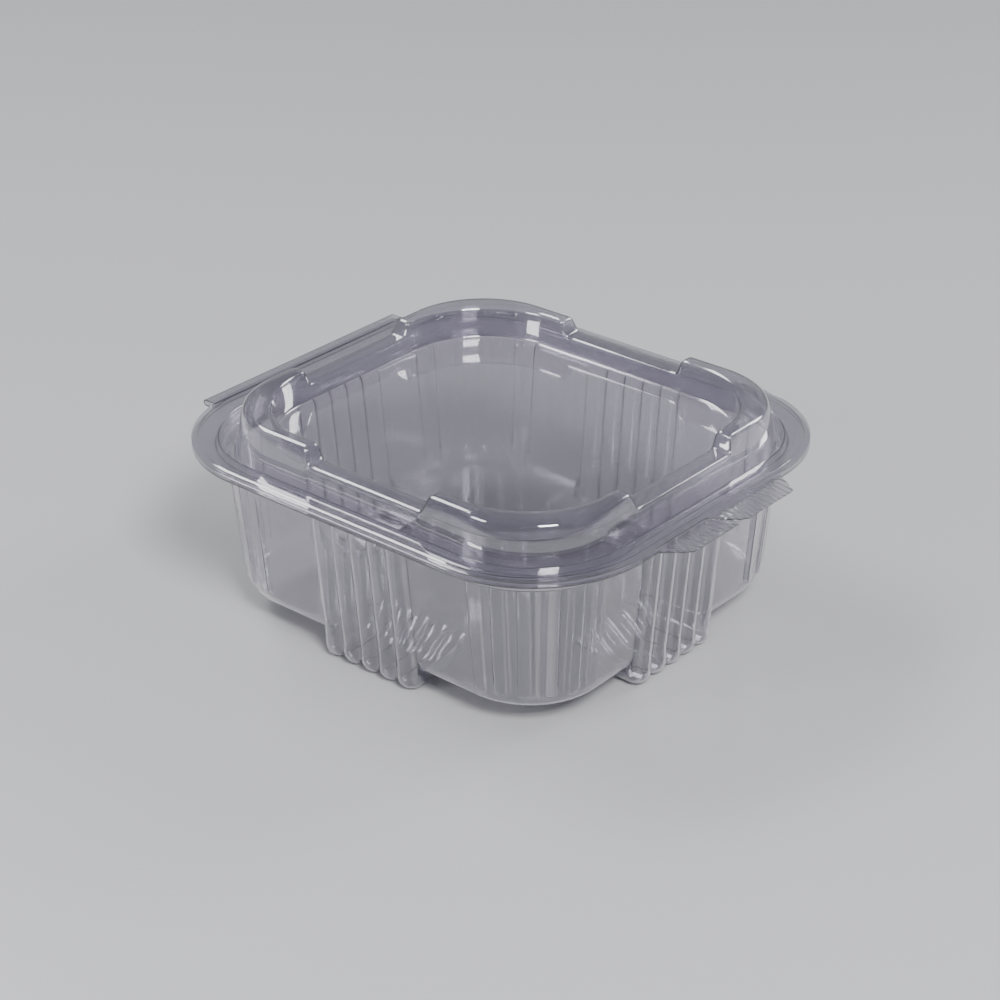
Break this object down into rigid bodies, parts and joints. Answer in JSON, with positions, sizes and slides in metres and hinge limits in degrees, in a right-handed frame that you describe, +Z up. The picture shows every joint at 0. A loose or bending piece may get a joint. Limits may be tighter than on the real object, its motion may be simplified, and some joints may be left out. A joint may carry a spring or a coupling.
{
  "type": "salad container",
  "caption": "Clear hinged food box: fluted tray on ribbed feet, and a domed lid with a sunk panel, corner stacking ridges, a plug rim and finger tabs.",
  "frame": {"origin": "on the plane the feet stand on, under the middle of the closed box with its tabs and fold", "axes": "+Z up, +X along the fold, the fold on the +Y side and the finger tabs on the -Y side"},
  "size_m": [0.171, 0.2017, 0.0782],
  "materials": {
    "clear_sheet": "clear, smooth and glossy, with a faint grey tint"
  },
  "bodies": {
    "tray": {"tray": "clear_sheet"},
    "lid": {"lid": "clear_sheet"}
  },
  "joints": [
    {"name": "lid_fold", "type": "hinge", "parent": "tray", "child": "lid", "pos_m": [0, 0.10005, 0.0644], "axis": [-1, 0, 0], "range_deg": [0, 180]}
  ]
}
